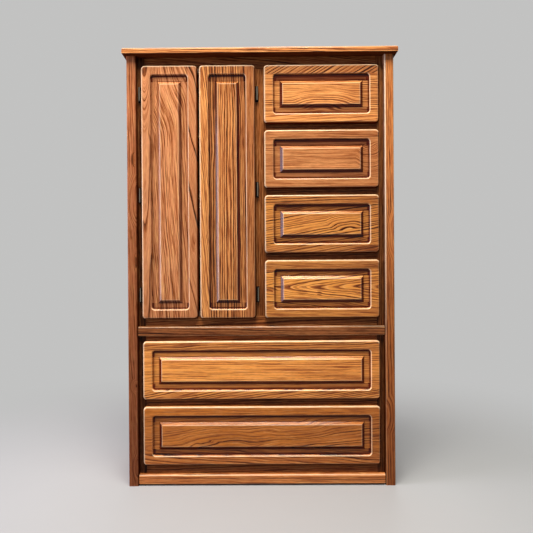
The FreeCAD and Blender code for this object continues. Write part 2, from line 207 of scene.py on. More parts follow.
def board(start=-9.0, heart=0.0, sunk=0.06, lean=0.0, ring=0.006, wave=0.004, bold=1.0, edge=1.0, few=0.0,
          fine=0.4, pitch=0.004, tone=1.0, red=0.0):
    """One board of a glued-up piece. start is where it begins across the grain, heart and sunk are the
    log's centre across and behind the face, lean is how far the rings run out along the board. bold and
    edge are the strength and the crispness of the rings, few the share of them that stay faint, fine and
    pitch the strength and width of the fine lines between them."""
    return {"start": start, "heart": heart, "sunk": sunk, "lean": lean, "ring": ring, "wave": wave,
            "bold": bold, "edge": edge, "few": few, "fine": fine, "pitch": pitch, "tone": tone, "red": red}


def swirl(along, across, length, width, bend=0.0, dark=0.0):
    """Place where the rings bend, round a knot or a burl, and how much darker it is there."""
    return {"along": along, "across": across, "length": length, "width": width, "bend": bend, "dark": dark}


def boards_from(edge, boards):
    """Boards written from the edge of their piece, moved to where that edge is."""
    return [{**one, "start": edge + one["start"], "heart": edge + one["heart"]} for one in boards]


def swirls_from(end, edge, swirls):
    """Swirls written from the end and the edge of their piece, moved to where those are."""
    return [{**one, "along": end + one["along"], "across": edge + one["across"]} for one in swirls]


honey = (0.780, 0.345, 0.120, 1)
# biscuit is paler and less saturated to stand for the left window's lavender light on the left door: partly
# painted light
biscuit = (0.775, 0.350, 0.155, 1)
wheat = (0.840, 0.360, 0.100, 1)
golden = (0.860, 0.350, 0.066, 1)
amber = (0.740, 0.235, 0.026, 1)
tawny = (0.640, 0.220, 0.052, 1)
rosy = (0.620, 0.225, 0.110, 1)
russet = (0.580, 0.185, 0.060, 1)
chestnut = (0.360, 0.095, 0.022, 1)
umber = (0.060, 0.014, 0.005, 1)
straw = (0.960, 0.520, 0.180, 1)
# Near black of staining with painted shade, for the fronts' hollows and for sides that look away from the
# light
stain_and_shade_dark = (0.14, 0.04, 0.015, 1)
# Painted shade on the fronts' outer edges that look down or right
painted_edge_shade = (0.40, 0.22, 0.10, 1)
# Painted shade, darkening upright pieces towards the floor
painted_foot_shade = (0.52, 0.43, 0.34, 1)
# Pale of wear and painted highlights on the arrises
rubbed_and_highlight = (0.90, 0.62, 0.36, 1)
# Painted highlight along one upright edge
painted_highlight_cream = (0.95, 0.78, 0.56, 1)

# Darkness of one ring, from the start of its year to the next: hard dark wood, fading into pale
RING_DARKNESS = [(0.0, 0.0), (0.07, 1.0), (0.24, 0.85), (0.42, 0.25), (0.72, 0.05), (1.0, 0.0)]
UNEVEN_WIDTH = 0.035
UNEVEN_RINGS = 2.5
OAK_ROUGHNESS = 0.34
EDGE_COAT = 0.40
FRAME_COAT = 0.15


def stain_and_shade_front(finish, wood, place, sideways, upward, depth, front, shares):
    """Staining with painted shade that a routed front holds in its hollows, painted shade on its outer edges
    that look down or right, less of both on faces that look up, how far each arris is worn pale with a
    painted highlight, and how far those edges lose their clear coat. depth is how far behind the face a
    point lies, front is the front's box, and shares are those of staining with painted shade all round,
    and of painted shadow under the upper lip, above the lower one and on bevels that look left."""
    channel, lip_shadow, sill_shade, left_bevel_shade = shares
    low, high = front
    right, left = finish.spread(sideways, 0.0, 0.6), finish.spread(sideways * -1.0, 0.0, 0.6)
    above = place[2] > high.z - BEVEL_START
    below = (low.z + BEVEL_START) - place[2] > 0.0
    deep = finish.spread(depth, 0.003, 0.008)
    # Painted light: faces that look up keep little of the dark; faces that look down or right, and bevels
    # that look left, get painted shade
    painted_top_light = finish.spread(upward, 0.0, 0.6, 1.0, 0.12)
    painted_side_shade = finish.spread(upward * -1.0, 0.0, 0.6) * 0.5 + right * 0.5
    if left_bevel_shade:
        painted_side_shade = left * left_bevel_shade + painted_side_shade
    # Staining and painted shade in the hollows, with painted shadow under the upper lip and above the lower
    # one
    hollow_stain_and_shade = finish.node("ShaderNodeAttribute", {"attribute_name": "stain"}, output="Fac")
    hollow_stain_and_shade = hollow_stain_and_shade * ((above * lip_shadow + below * sill_shade) * deep + painted_side_shade + channel) * painted_top_light
    wood = finish.blend(hollow_stain_and_shade, wood, stain_and_shade_dark, "MULTIPLY")

    from_side = (high.x - low.x) / 2 - abs(place[0] - (high.x + low.x) / 2)
    from_end = (high.z - low.z) / 2 - abs(place[2] - (high.z + low.z) / 2)
    inset = from_side.combine("MINIMUM", from_end)
    # Painted shade on outer edges that look down or right, where the clear coat is thinned too
    turned_from_light = finish.spread(sideways - upward, 0.05, 0.7)
    wood = finish.blend(finish.spread(inset, 0.0085, 0.0020) * turned_from_light, wood, painted_edge_shade, "MULTIPLY")
    # Wear with painted highlights on the arrises, stronger on those that look up or left, none on those that
    # look down or right
    lit = finish.spread(upward, 0.0, 0.6) * 0.6 + left * 0.4
    rub = finish.node("ShaderNodeAttribute", {"attribute_name": "rub"}, output="Fac")
    rub = rub * (lit + 0.6) * (1.0 - turned_from_light)
    return wood, rub, finish.spread(inset, 0.0095, 0.0065) * turned_from_light


def oak(name, grain, boards, face, light=honey, seed=0.0, swirls=(), front=None, shares=None, painted_shade_side=None,
        coat=EDGE_COAT, worn=0.0, painted_bright_edge=None):
    """Stained oak finish. grain is the axis that the fibres follow, then the axis across, then into the
    board, and face is where its surface lies on that last one. front and shares are the box of a routed
    front and its shares of staining with painted shade, as set out for routed fronts above. The side to
    shade, a sign and an axis, is painted dark with shade on the faces that look that way, and worn is how
    pale the rounded edges are worn. The bright edge is the X of an upright edge painted pale as a
    highlight, and the heights between which that fades in."""
    finish = Finish(name)
    place = finish.place()
    along, across, into = (place[AXES[axis]] for axis in grain)
    masks = [across > one["start"] for one in boards[1:]]

    def each(key):
        """A board's value, the same number for all or a mask from board to board."""
        first = boards[0][key]
        if all(one[key] == first for one in boards):
            return first
        total = first
        for mask, before, after in zip(masks, boards, boards[1:]):
            if after[key] != before[key]:
                total = total + mask * (after[key] - before[key])
        return total

    shift = seed
    for number, mask in enumerate(masks, 1):
        shift = mask * (3.7 + 1.3 * number) + shift
    along_grain = along + shift

    def fibres(length, width, detail=2.0):
        """Noise drawn out along the grain, its features about length by width."""
        return finish.noise(finish.vector(along_grain / length, across / width, into / width), detail)

    # Rings: how far a point is from the heart of the log, bent by what grew there
    swell = (fibres(0.42, 0.085, 1.0) - 0.5) * each("wave") * 4.0
    ripple = (fibres(0.10, 0.020) - 0.5) * each("wave") * 0.9
    off_heart = across - each("heart")
    behind = into - (face + each("sunk"))
    distance = (off_heart * off_heart + behind * behind) ** 0.5
    flow = distance + along * each("lean") + swell + ripple
    burl = 0.0
    for one in swirls:
        near_along = (along - one["along"]) / one["length"]
        near_across = (across - one["across"]) / one["width"]
        near = finish.spread(near_along * near_along + near_across * near_across, 1.0, 0.0)
        if one["bend"]:
            flow = flow + near * one["bend"]
        if one["dark"]:
            burl = near * one["dark"] + burl
    uneven = finish.noise(finish.vector(flow / UNEVEN_WIDTH, shift, 0.0), 1.0) - 0.5
    rings = flow / each("ring") + uneven * UNEVEN_RINGS
    few = each("few")
    strength = finish.spread(finish.chance(rings.whole() + seed), few, 1.0) * 0.9 + (0.5 - few * 0.5)
    band = finish.curve(rings.fraction(), RING_DARKNESS) ** each("edge") * strength * each("bold")

    def lines(length, width, low, high):
        """Fine lines that follow the rings."""
        drawn = finish.noise(finish.vector(along_grain / length, flow / width, shift), 1.0)
        return finish.spread(drawn, low, high)

    pores = finish.spread(fibres(0.030, 0.0011, 1.0), 0.50, 0.66)
    hair = lines(0.12, each("pitch"), 0.50, 0.62) * each("fine")
    pale = lines(0.07, each("pitch") * 0.8, 0.52, 0.66) * (1.0 - band) * each("fine")
    streak = lines(0.30, 0.0100, 0.40, 0.66)
    cloud = fibres(0.30, 0.06)
    fleck = fibres(0.022, 0.0038, 1.0)
    grain_dark = band * (pores * 0.35 + 0.62) + pores * 0.08 + hair + streak * 0.18 + burl - 0.05

    # Colour: the body between the rings, then the rings, then staining, wear, painted shade and highlights
    body = finish.blend(cloud * 0.5 + each("red"), light, russet)
    body = finish.blend(pale * 0.9, body, straw)
    wood = finish.blend(grain_dark * 1.7, body, chestnut)
    wood = finish.blend(grain_dark * 1.3 - 0.55, wood, umber)
    sideways, out, upward = finish.facing()
    if front:
        wood, rub, uncoated = stain_and_shade_front(finish, wood, place, sideways, upward, into - face, front, shares)
        coat = (1.0 - uncoated) * coat
    elif worn:
        flat = abs(sideways).combine("MAXIMUM", abs(out)).combine("MAXIMUM", abs(upward))
        rub = finish.spread(flat, 0.98, 0.80) * worn
    if front or worn:
        patchy = finish.noise(finish.vector(along / 0.05, across / 0.05, into / 0.05), 2.0)
        wood = finish.blend(rub * finish.spread(patchy, 0.2, 0.55, 0.6, 1.0) * 0.75, wood, rubbed_and_highlight)
    # Painted highlight along one upright edge, fading in with height
    if painted_bright_edge:
        edge_x, dark_height, bright_height = painted_bright_edge
        beside = finish.spread(abs(place[0] - edge_x), 0.0085, 0.0045)
        wood = finish.blend(beside * finish.spread(place[2], dark_height, bright_height) * 0.85, wood, painted_highlight_cream)
    # Painted shade on the side that looks away from the light, its clear coat thinned too
    if painted_shade_side:
        sign, axis = painted_shade_side
        looks = {"X": sideways, "Z": upward}[axis] * (1.0 if sign == "+" else -1.0)
        painted_shade = finish.spread(looks, 0.3, 0.9)
        wood = finish.blend(painted_shade * 0.9, wood, stain_and_shade_dark, "MULTIPLY")
        coat = (1.0 - painted_shade) * coat
    # Painted shade: upright pieces darker towards the floor
    if grain[0] == "Z" and not front:
        wood = finish.blend(finish.spread(place[2], 1.7, 0.0), wood, painted_foot_shade, "MULTIPLY")
    shade = (cloud - 0.5) * 0.30 + (fleck - 0.5) * 0.45 + each("tone")
    wood = finish.blend(1.0, wood, finish.vector(shade, shade, shade), "MULTIPLY")

    relief = (1.0 - pores) * 0.6 + (1.0 - band) * 0.4
    bump = finish.node("ShaderNodeBump", inputs={"Strength": 0.35, "Distance": 0.0004, "Height": relief},
                       output="Normal")
    finish.surface(base_color=wood, roughness=pores * 0.14 + OAK_ROUGHNESS + band * 0.05, normal=bump)
    finish.surface(coat_weight=coat, coat_roughness=0.17, specular_ior_level=0.0)
    return finish.material


def dress(node, material):
    """Give a solid its finish, where it is."""
    mesh = nodes[node].data
    mesh.materials.clear()
    mesh.materials.append(material)


def front_profile(thickness):
    """Steps from the back edge to the field: inset, depth behind the face, corner radius, staining with
    painted shade, wear with painted highlight. Staining and painted shade gather in the hollows, and the
    arrises are worn pale with painted highlights."""
    profile = [(0.0, thickness, FRONT_CORNER, 0.4, 0.0)]
    for step in range(ARC_STEPS + 1):
        turn = math.pi / 2 * step / ARC_STEPS
        inset = FRONT_EDGE * (1 - math.cos(turn))
        profile.append((inset, FRONT_EDGE * (1 - math.sin(turn)), FRONT_CORNER - inset,
                        FRAME_STAIN + 0.35 * math.cos(turn), math.sin(2 * turn)))
    profile.append((FRONT_EDGE + FLAT_MARGIN, 0.0, FLAT_MARGIN, FRAME_STAIN, 0.0))
    profile.append((LIP_START - LIP_MARGIN, 0.0, LIP_CORNER, FRAME_STAIN, 0.0))
    for step in range(ARC_STEPS + 1):
        turn = math.pi / 2 * step / ARC_STEPS
        inset = LIP_START + LIP_STEP * math.sin(turn)
        profile.append((inset, LIP_STEP * (1 - math.cos(turn)), LIP_START + LIP_CORNER - inset, FRAME_STAIN,
                        math.sin(2 * turn)))
    for step in range(1, ARC_STEPS + 1):
        turn = math.pi / 2 * step / ARC_STEPS
        inset = LIP_START + LIP_STEP * (2 - math.cos(turn))
        depth = LIP_STEP * (1 + math.sin(turn))
        profile.append((inset, depth, LIP_START + LIP_CORNER - inset, step / ARC_STEPS, 0.0))
    channel = LIP_START + 2 * LIP_STEP
    profile.append((channel + 0.004, CHANNEL_DEPTH, 0.002, 0.30, 0.0))
    profile.append((channel + 0.010, CHANNEL_DEPTH, 0.001, 0.18, 0.0))
    profile.append((BEVEL_START - FLAT_MARGIN, CHANNEL_DEPTH, 0.0, 0.20, 0.0))
    profile.append((BEVEL_START, CHANNEL_DEPTH, 0.0, 0.9, 0.0))
    up_share = 0.4
    part_way = CHANNEL_DEPTH + up_share * (FIELD_DROP - CHANNEL_DEPTH)
    profile.append((BEVEL_START + up_share * BEVEL_WIDTH, part_way, 0.0, 0.8, 0.0))
    field = BEVEL_START + BEVEL_WIDTH
    profile.append((field - 0.0012, FIELD_DROP + 0.0009, 0.0, 0.65, 0.0))
    profile.append((field, FIELD_DROP, 0.0, 0.1, 0.9))
    profile.append((field + 0.0006, FIELD_DROP - FIELD_CROWN, 0.0, 0.0, 0.8))
    profile.append((field + 0.004, FIELD_DROP - FIELD_CROWN, 0.0, 0.0, 0.0))
    return profile


def corner_loop(low, high, inset, radius, y):
    """Points round a rectangle in X and Z with rounded corners, always the same count."""
    x = (low.x + inset + radius, high.x - inset - radius)
    z = (low.z + inset + radius, high.z - inset - radius)
    points = []
    for quarter, (across, up) in enumerate(((x[1], z[1]), (x[0], z[1]), (x[0], z[0]), (x[1], z[0]))):
        for step in range(CORNER_STEPS + 1):
            turn = math.pi / 2 * (quarter + step / CORNER_STEPS)
            points.append(Vector((across + radius * math.cos(turn), y, up + radius * math.sin(turn))))
    return points


def loft(name, loops, stains_and_shades, rubs_and_highlights):
    """Closed mesh through loops of equal count, capped at both ends."""
    shape = bmesh.new()
    stain = shape.verts.layers.float.new("stain")
    rub = shape.verts.layers.float.new("rub")
    rows = []
    for points, stained_and_shaded, rubbed_and_highlight in zip(loops, stains_and_shades, rubs_and_highlights):
        row = [shape.verts.new(point) for point in points]
        for vert in row:
            vert[stain] = stained_and_shaded
            vert[rub] = rubbed_and_highlight
        rows.append(row)
    count = len(rows[0])
    for row, following in zip(rows, rows[1:]):
        for i in range(count):
            shape.faces.new((row[i], row[(i + 1) % count], following[(i + 1) % count], following[i]))
    shape.faces.new(list(reversed(rows[0])))
    shape.faces.new(rows[-1])
    bmesh.ops.remove_doubles(shape, verts=shape.verts, dist=0.00001)
    bmesh.ops.recalc_face_normals(shape, faces=shape.faces)
    mesh = bpy.data.meshes.new(name)
    shape.to_mesh(mesh)
    shape.free()
    made = bpy.data.objects.new(name, mesh)
    bpy.context.scene.collection.objects.link(made)
    return made


def crisp(made):
    """Smooth shading with the hard arrises kept."""
    shape = bmesh.new()
    shape.from_mesh(made.data)
    for face in shape.faces:
        face.smooth = True
    for edge in shape.edges:
        edge.smooth = edge.is_manifold and edge.calc_face_angle(0) < math.radians(SHARP_ANGLE)
    shape.to_mesh(made.data)
    shape.free()


def routed_front(node, name, body, material):
    """Front lofted to the box of its plain solid, which it replaces, and carried by the same body."""
    low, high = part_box(node)
    insets, depths, radii, stains_and_shades, rubs_and_highlights = zip(*front_profile(high.y - low.y))
    loops = [corner_loop(low, high, inset, radius, low.y + depth)
             for inset, depth, radius in zip(insets, depths, radii)]
    made = loft(name, loops, stains_and_shades, rubs_and_highlights)
    made.data.materials.append(material)
    crisp(made)
    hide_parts(node)
    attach(made, body)


def low_corner(node):
    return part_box(node)[0]


# Doors

left_boards = [
    board(heart=0.012, sunk=0.020, lean=-0.035, ring=0.033, wave=0.004, bold=1.35, edge=6.0, few=0.1,
          fine=0.22, pitch=0.003, tone=0.97, red=0.2),
    board(start=0.040, heart=-0.03, sunk=0.05, lean=0.060, ring=0.0075, wave=0.005, bold=0.80,
          edge=1.6, few=0.2, fine=0.50, pitch=0.0035, tone=0.98, red=0.15),
    board(start=0.196, heart=-0.10, sunk=0.03, lean=0.22, ring=0.070, wave=0.006, bold=2.3,
          edge=7.0, few=0.0, fine=0.24, pitch=0.003, tone=0.90, red=0.3),
]
left_swirls = [swirl(1.158, 0.02, 0.42, 0.22, bend=0.050),
               swirl(1.248, 0.015, 0.50, 0.06, bend=-0.18),
               swirl(0.318, 0.215, 0.050, 0.012, bend=0.010, dark=0.42),
               # Painted shade: the left door darker towards its foot
               swirl(0.0, 0.12, 0.10, 0.30, dark=0.09)]
right_boards = [
    board(heart=-0.08, sunk=0.05, lean=0.10, ring=0.0075, wave=0.008, bold=1.35, edge=1.3, few=0.2,
          fine=0.4, pitch=0.003, tone=1.07, red=-0.1),
    board(start=0.038, heart=-0.15, sunk=0.06, lean=0.004, ring=0.0095, wave=0.007, bold=2.2,
          edge=1.3, few=0.10, fine=0.55, pitch=0.003, tone=0.98, red=0.20),
    board(start=0.194, heart=0.40, sunk=0.05, lean=0.020, ring=0.0060, wave=0.002, bold=0.6,
          fine=0.45, pitch=0.003, tone=0.78, red=0.50),
]
# Shares of staining with painted shade all round, and of painted shadow under the upper lip and above the
# lower one; the right door's larger share paints its left bevel darker
doors = {"left": (left_boards, left_swirls, biscuit, 1.7, 0.5), "right": (right_boards, [], wheat, 5.3, 0.8)}
for side, (boards, swirls, light, seed, channel) in doors.items():
    low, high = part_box(f"{side}_door_panel")
    wood = oak(f"{side}_door_oak", "ZXY", boards_from(low.x, boards), low.y, light=light, seed=seed,
               swirls=swirls_from(low.z, low.x, swirls), front=(low, high), shares=(channel, 1.5, 1.2, 0.0))
    routed_front(f"{side}_door_panel", f"{side}_door_front", f"{side}_door", wood)

# Drawers

drawer_boards = {}
drawer_swirls = {}
drawer_boards[1] = [
    board(heart=-0.10, sunk=0.05, lean=-0.06, ring=0.010, wave=0.002, bold=0.5, fine=0.3, tone=1.28,
          red=-0.15),
    board(start=0.036, heart=-0.30, sunk=0.01, lean=0.003, ring=0.0080, wave=0.002, bold=0.85,
          edge=1.5, few=0.1, fine=0.40, pitch=0.0035, tone=1.06, red=-0.10),
    board(start=0.206, heart=-0.3, sunk=0.05, lean=-0.60, ring=0.015, wave=0.004, bold=1.7,
          edge=1.3, fine=0.35, tone=0.93, red=0.15),
]
drawer_swirls[1] = [swirl(0.25, 0.105, 0.14, 0.060, bend=-0.020),
                    swirl(0.30, 0.060, 0.10, 0.030, dark=0.10)]
drawer_boards[2] = [
    board(heart=-0.15, sunk=0.05, lean=0.01, ring=0.007, wave=0.002, bold=0.5, fine=0.3, tone=1.0, red=0.10),
    board(start=0.040, heart=-0.2, sunk=0.05, lean=-0.008, ring=0.006, wave=0.003, bold=0.6,
          fine=0.35, pitch=0.003, tone=1.0, red=0.12),
    board(start=0.200, heart=0.5, sunk=0.05, lean=0.012, ring=0.008, wave=0.003, bold=0.7,
          fine=0.4, tone=0.95, red=0.2),
]
drawer_swirls[2] = [swirl(0.44, 0.12, 0.06, 0.08, bend=0.020)]
drawer_boards[3] = [
    board(heart=-0.1, sunk=0.05, lean=-0.16, ring=0.009, wave=0.004, bold=1.1, edge=1.3, tone=0.9, red=0.25),
    board(start=0.034, heart=-0.28, sunk=0.014, lean=-0.15, ring=0.0095, wave=0.007, bold=2.0,
          edge=2.2, few=0.35, fine=0.30, tone=0.97, red=-0.10),
    board(start=0.202, heart=0.5, sunk=0.05, lean=0.03, ring=0.008, wave=0.005, bold=1.0,
          edge=1.4, tone=0.92, red=0.2),
]
drawer_swirls[3] = [swirl(0.335, 0.135, 0.085, 0.045, bend=-0.014),
                    swirl(0.12, 0.185, 0.06, 0.02, dark=0.35),
                    swirl(0.44, 0.015, 0.09, 0.02, dark=0.25)]
drawer_boards[4] = [
    board(heart=-0.1, sunk=0.05, lean=0.02, ring=0.007, wave=0.003, bold=0.4, fine=0.3, tone=0.95, red=0.0),
    board(start=0.042, heart=0.132, sunk=0.008, lean=-0.12, ring=0.0090, wave=0.010, bold=2.3,
          edge=2.2, few=0.40, fine=0.40, tone=1.10, red=-0.2),
    board(start=0.205, heart=0.5, sunk=0.05, lean=0.0, ring=0.006, wave=0.002, bold=0.5, fine=0.4,
          tone=0.9, red=0.05),
]
drawer_swirls[4] = [swirl(0.228, 0.104, 0.014, 0.014, bend=0.003, dark=0.30),
                    swirl(0.155, 0.108, 0.030, 0.010, dark=0.22),
                    swirl(0.015, 0.122, 0.040, 0.014, bend=0.004, dark=0.45)]
drawer_boards[5] = [
    board(heart=-0.1, sunk=0.05, lean=-0.14, ring=0.008, wave=0.005, bold=1.1, edge=1.3, tone=1.18, red=0.1),
    board(start=0.044, heart=-0.2, sunk=0.05, lean=0.006, ring=0.0060, wave=0.003, bold=0.5,
          fine=0.32, pitch=0.0035, tone=1.31, red=-0.1),
    board(start=0.204, heart=0.5, sunk=0.05, lean=0.03, ring=0.011, wave=0.009, bold=1.1,
          edge=1.4, tone=1.1, red=0.1),
]
drawer_swirls[5] = []
drawer_boards[6] = [
    board(heart=-0.05, sunk=0.05, lean=0.07, ring=0.010, wave=0.007, bold=1.2, edge=1.3, tone=1.0, red=0.3),
    board(start=0.050, heart=0.075, sunk=0.012, lean=-0.09, ring=0.0120, wave=0.008, bold=2.0,
          edge=3.0, few=0.45, fine=0.30, tone=0.88, red=0.0),
    board(start=0.205, heart=0.5, sunk=0.05, lean=-0.01, ring=0.007, wave=0.002, bold=0.45,
          fine=0.35, tone=1.0, red=-0.1),
]
drawer_swirls[6] = [swirl(0.27, 0.092, 0.055, 0.016, bend=0.006, dark=0.22),
                    swirl(0.31, 0.110, 0.170, 0.060, bend=-0.018),
                    swirl(0.66, 0.140, 0.150, 0.055, bend=0.016)]
# Share of painted shadow under each drawer's upper lip, most on the top drawers
lip_shadows = {1: 4.0, 2: 3.2, 3: 2.6, 4: 2.6, 5: 1.0, 6: 1.2}
lights = {1: wheat, 2: honey, 3: golden, 4: golden, 5: golden, 6: amber}
# Share of a drawer's width over which painted shade darkens its right end
RIGHT_SHADE_SHARE = 0.45
for number, boards in drawer_boards.items():
    low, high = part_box(f"drawer_{number}_front")
    # Painted shade: each drawer darker towards its right end
    painted_right_shade = swirl(high.x, (low.z + high.z) / 2, (high.x - low.x) * RIGHT_SHADE_SHARE, 0.25, dark=0.11)
    # Painted shadow above each drawer's lower lip, less on the top two drawers
    sill_shade = 1.6 if number < 3 else 2.2
    wood = oak(f"drawer_{number}_oak", "XZY", boards_from(low.z, boards), low.y, light=lights[number],
               seed=11.3 * number, swirls=[*swirls_from(low.x, low.z, drawer_swirls[number]), painted_right_shade],
               front=(low, high), shares=(0.8, lip_shadows[number], sill_shade, 1.2))
    routed_front(f"drawer_{number}_front", f"drawer_{number}_face", f"drawer_{number}", wood)

# Case

post_swirls = {
    "left_post": [
        swirl(1.37, 0.026, 0.036, 0.012, bend=0.007, dark=0.42), swirl(1.20, 0.030, 0.120, 0.050, bend=0.024),
        swirl(1.06, 0.014, 0.034, 0.010, bend=0.005, dark=0.34),
        swirl(0.94, 0.032, 0.044, 0.009, bend=0.006, dark=0.36),
        swirl(0.42, 0.022, 0.035, 0.022, bend=0.014, dark=0.12),
        swirl(0.08, 0.028, 0.060, 0.020, bend=0.012, dark=0.10)],
    "right_post": [
        swirl(1.05, 0.030, 0.110, 0.040, bend=-0.016), swirl(0.30, 0.030, 0.090, 0.040, bend=0.012)],
}
# The stiles' low tones stand for darker staining and for painted shade on the recessed face frame
upright = {
    "left_post": board(heart=-0.70, sunk=0.10, lean=0.02, ring=0.008, wave=0.003, bold=0.6, tone=0.80,
                       red=0.30),
    "right_post": board(heart=0.70, sunk=0.10, lean=-0.02, ring=0.008, wave=0.003, bold=0.8, tone=1.08,
                        red=0.0),
    "left_stile": board(heart=-0.6, sunk=0.10, lean=0.01, ring=0.007, tone=0.26, red=0.3),
    "centre_stile": board(heart=0.2, sunk=0.10, lean=0.01, ring=0.007, tone=0.62, red=0.15),
    "right_stile": board(heart=0.6, sunk=0.10, lean=0.01, ring=0.007, tone=0.40, red=0.2),
}
# The posts' inner sides get painted shade
painted_shade_sides = {"left_post": "+X", "right_post": "-X"}
for number, (node, one) in enumerate(upright.items()):
    low = low_corner(node)
    # The right post's edges are worn pale, and its left edge gets a painted highlight
    worn_and_highlit = node == "right_post"
    dress(node, oak(f"{node}_oak", "ZXY", [one], low.y, light=rosy if node == "left_post" else tawny,
                    seed=30 + 3.1 * number, swirls=swirls_from(low.z, low.x, post_swirls.get(node, ())),
                    painted_bright_edge=(low.x, 0.45, 1.15) if worn_and_highlit else None, painted_shade_side=painted_shade_sides.get(node),
                    coat=EDGE_COAT if "post" in node else FRAME_COAT, worn=0.8 if worn_and_highlit else 0.0))

# The rails' low tones stand for darker staining and for painted shade under the top and between the fronts
level = {
    "top_rail": board(heart=1.9, sunk=0.05, lean=-0.10, ring=0.010, tone=0.55, red=0.15),
    "middle_rail": board(heart=0.8, sunk=0.05, lean=0.03, ring=0.009, tone=0.68, red=0.2),
    "bottom_rail": board(heart=0.2, sunk=0.05, lean=0.02, ring=0.009, tone=0.6, red=0.2),
    "upper_drawer_rails": board(heart=2.2, sunk=0.05, lean=0.02, ring=0.008, tone=0.34, red=0.2),
    "lower_drawer_rail": board(heart=0.5, sunk=0.05, lean=0.02, ring=0.008, tone=0.5, red=0.2),
    "middle_moulding": board(heart=0.5, sunk=0.05, lean=0.015, ring=0.009, tone=0.5, red=0.3),
    "base_moulding": board(heart=-0.1, sunk=0.05, lean=0.015, ring=0.009, tone=1.15, red=0.1),
}
for number, (node, one) in enumerate(level.items()):
    moulded = "moulding" in node
    dress(node, oak(f"{node}_oak", "XZY", [one], low_corner(node).y, light=tawny, seed=50 + 4.3 * number,
                    coat=EDGE_COAT if moulded else FRAME_COAT, worn=0.6 if moulded else 0.0))


def glued_boards(low_edge, width, rows, sign=1, front_bold=0.60):
    """Boards of one width side by side from low_edge. Each row is how far the heart lies off the board's
    middle, how deep it lies, lean, ring, tone and red. sign is -1 where the wood lies below its face's
    axis, and front_bold is the strength of the rings in the first board."""
    return [board(start=low_edge + width * place, heart=low_edge + width * (place + 0.5) + drift,
                  sunk=sunk * sign, lean=lean, ring=ring, wave=0.003, bold=0.60 if place else front_bold,
                  edge=1.3, few=0.2, fine=0.35, tone=tone, red=red)
            for place, (drift, sunk, lean, ring, tone, red) in enumerate(rows)]


top_rows = [(-0.16, 0.09, 0.012, 0.006, 0.95, 0.1), (0.20, 0.08, -0.008, 0.007, 0.86, 0.15),
            (-0.02, 0.035, 0.05, 0.008, 1.00, 0.05), (-0.25, 0.10, 0.010, 0.006, 0.92, 0.15),
            (0.15, 0.06, -0.015, 0.007, 0.97, 0.1)]
low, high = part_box("case_top")
top_boards = glued_boards(low.y, (high.y - low.y) / len(top_rows), top_rows, sign=-1, front_bold=1.3)
# The top's underside gets painted shade
dress("case_top", oak("case_top_oak", "XYZ", top_boards, high.z, light=wheat, seed=71.0, worn=0.4, painted_shade_side="-Z"))

side_rows = [(0.18, 0.08, 0.008, 0.006, 0.94, 0.15), (-0.01, 0.035, -0.045, 0.008, 0.88, 0.25),
             (-0.22, 0.09, 0.010, 0.006, 0.97, 0.1), (0.02, 0.045, 0.035, 0.007, 0.92, 0.2)]
for node, sign, seed in (("left_side_panel", 1, 80.0), ("right_side_panel", -1, 87.0)):
    low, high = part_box(node)
    rows = [(drift, sunk, lean * sign, *rest) for drift, sunk, lean, *rest in side_rows]
    boards = glued_boards(low.y, (high.y - low.y) / len(rows), rows, sign=sign)
    dress(node, oak(f"{node}_oak", "ZYX", boards, low.x if sign > 0 else high.x, seed=seed))

# Inner woods

maple = (0.600, 0.360, 0.165, 1)
maple_dark = (0.300, 0.140, 0.050, 1)
PLAIN_RING_DARKNESS = [(0.0, 0.0), (0.55, 0.25), (0.92, 1.0), (1.0, 0.0)]
DRAWER_SIDE = 0.012


def plain_wood(name, grain, light=maple, dark=maple_dark, seed=0.0, ring=0.012, figure=0.06, box=None):
    """Unstained inner wood with faint rings. ring is their width, and figure how far they wander. box is a
    drawer's box, where what lies between the sides is the back, its grain across."""
    finish = Finish(name)
    place = finish.place()
    along, across, into = (place[AXES[axis]] for axis in grain)
    if box:
        low, high = box
        inward = (high.x - low.x) / 2 - abs(place[0] - (high.x + low.x) / 2)
        between = inward > DRAWER_SIDE
        along, across = along + between * (across - along), across + between * (along - across)

    def fibres(length, width, detail=1.0):
        """Noise drawn out along the grain, its features about length by width."""
        return finish.noise(finish.vector(along / length + seed, across / width, into / width), detail)

    wander = fibres(0.55, 0.07, 2.0)
    fine = fibres(0.05, 0.0012)
    fleck = fibres(0.04, 0.0045, 2.0)
    cloud = fibres(0.35, 0.12)
    rings = (across * 0.8 + into * 0.6 + wander * figure) / ring
    band = finish.curve(rings.fraction(), PLAIN_RING_DARKNESS)
    strength = finish.chance(rings.whole() + seed) * 0.7 + 0.3
    shade = (cloud - 0.5) * 0.35 + (fleck - 0.5) * 0.30 + 1.0
    colour = finish.blend(band * strength * 0.60 + fine * 0.30, light, dark)
    colour = finish.blend(1.0, colour, finish.vector(shade, shade, shade), "MULTIPLY")
    bump = finish.node("ShaderNodeBump", inputs={"Strength": 0.2, "Distance": 0.0003, "Height": fine},
                       output="Normal")
    finish.surface(base_color=colour, roughness=fine * 0.15 + 0.42, specular_ior_level=0.2, normal=bump)
    return finish.material


along_x = plain_wood("inner_wood_across", "XZY", seed=2.0)
along_y = plain_wood("inner_wood_deep", "YXZ", seed=7.0)
along_z = plain_wood("inner_wood_upright", "ZYX", seed=12.0)
ply = plain_wood("plywood_sheet", "XYZ", (0.62, 0.40, 0.20, 1), (0.36, 0.19, 0.08, 1), seed=17.0, ring=0.020,
                 figure=0.16)
back_ply = plain_wood("back_plywood", "ZXY", (0.62, 0.37, 0.17, 1), (0.30, 0.145, 0.055, 1), seed=23.0,
                      ring=0.026, figure=0.30)

